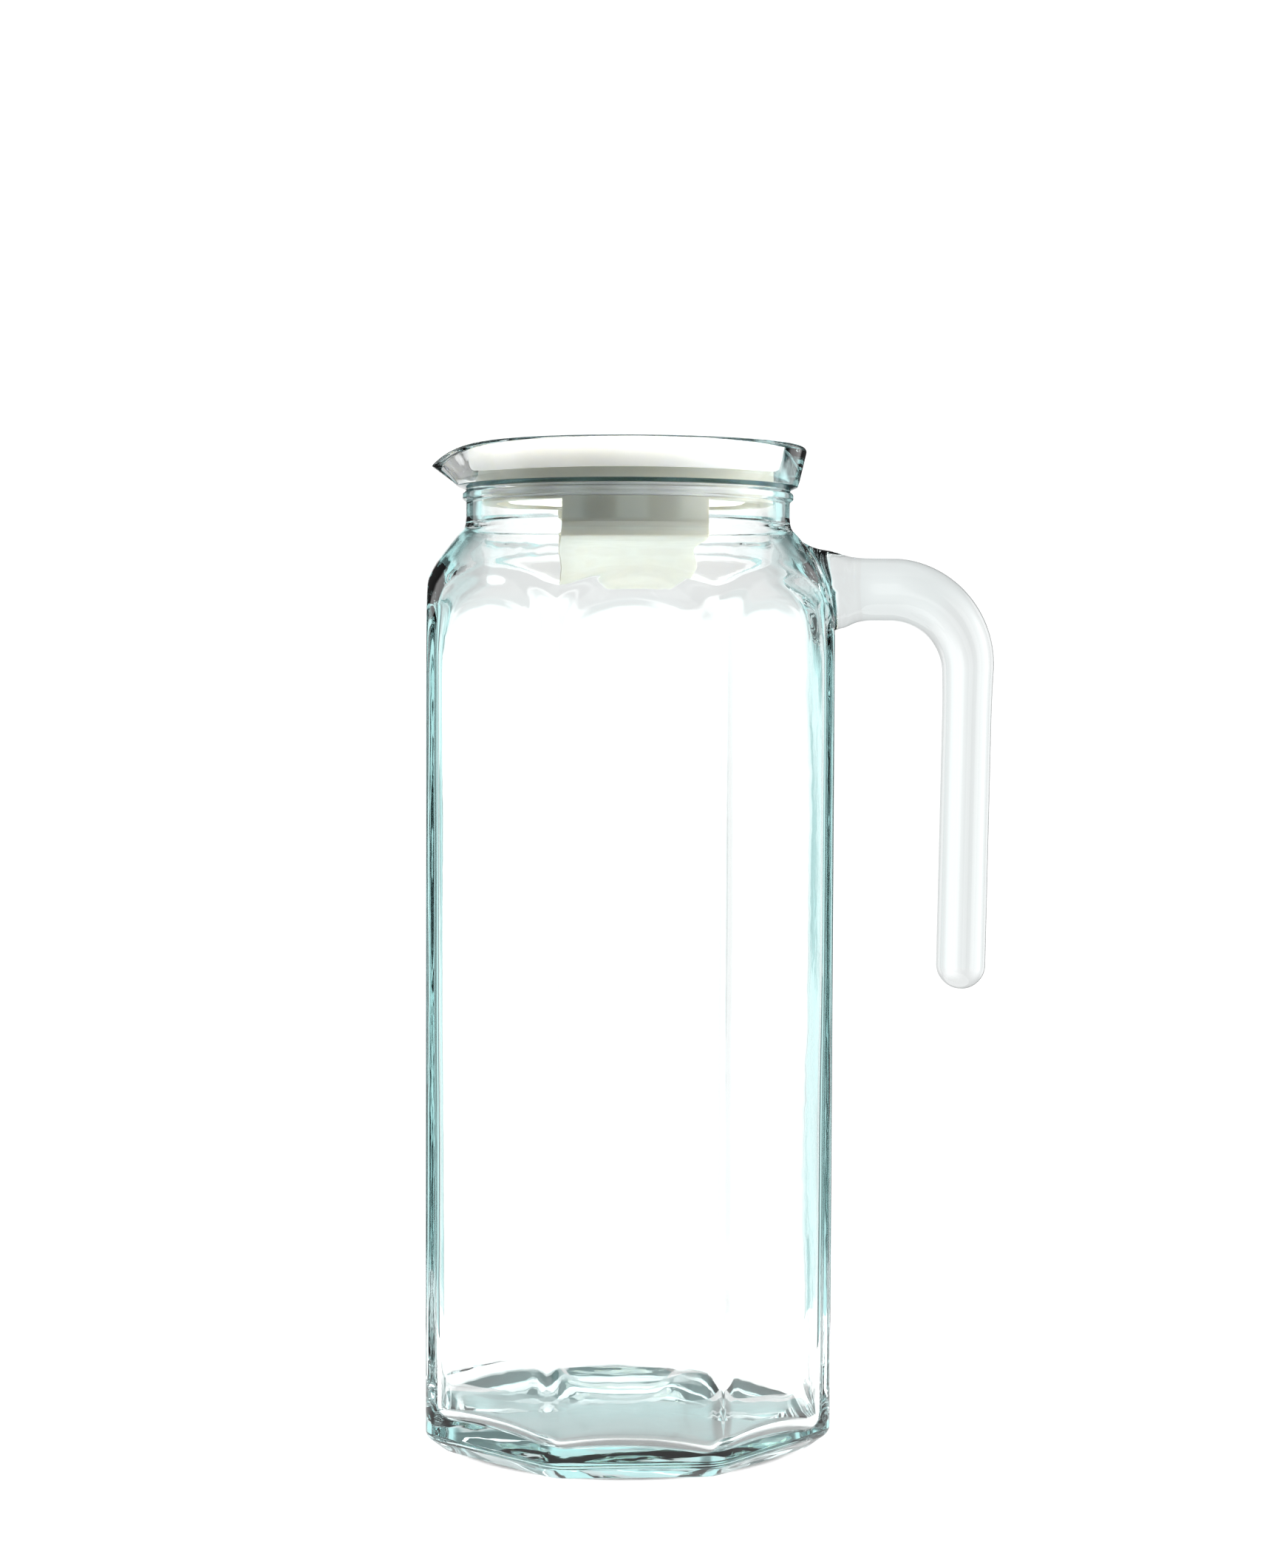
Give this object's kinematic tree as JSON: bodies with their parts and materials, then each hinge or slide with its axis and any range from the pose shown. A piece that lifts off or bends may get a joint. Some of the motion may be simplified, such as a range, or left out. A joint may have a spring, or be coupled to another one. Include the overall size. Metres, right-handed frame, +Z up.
{
  "type": "water jug",
  "caption": "Tall octagonal clear glass water jug with a flared spouted mouth, an open-ended glass side handle and a white pouring lid set down in the neck.",
  "frame": {"origin": "middle of the flat base, on the surface that the jug stands on", "axes": "+Z up the jug's own axis, +X towards the handle, the spout points to -X"},
  "size_m": [0.1412, 0.099, 0.245],
  "materials": {
    "clear_glass": "clear pressed soda-lime glass, faint blue-green where it is thick",
    "white_plastic": "satin moulded white plastic",
    "seal_silicone": "smooth translucent silicone"
  },
  "bodies": {
    "jug": {"glass_body": "clear_glass", "handle": "clear_glass"},
    "seal": {"seal_ring": "seal_silicone"},
    "lid": {"lid_cover": "white_plastic", "lid_plug": "white_plastic"}
  },
  "joints": [
    {"name": "lid_lift", "type": "slide", "parent": "jug", "child": "seal", "axis": [0, 0, 1], "range_m": [0, 0.06]},
    {"name": "lid_turn", "type": "hinge", "parent": "seal", "child": "lid", "pos_m": [0, 0, 0.235], "axis": [0, 0, 1], "continuous": true}
  ]
}
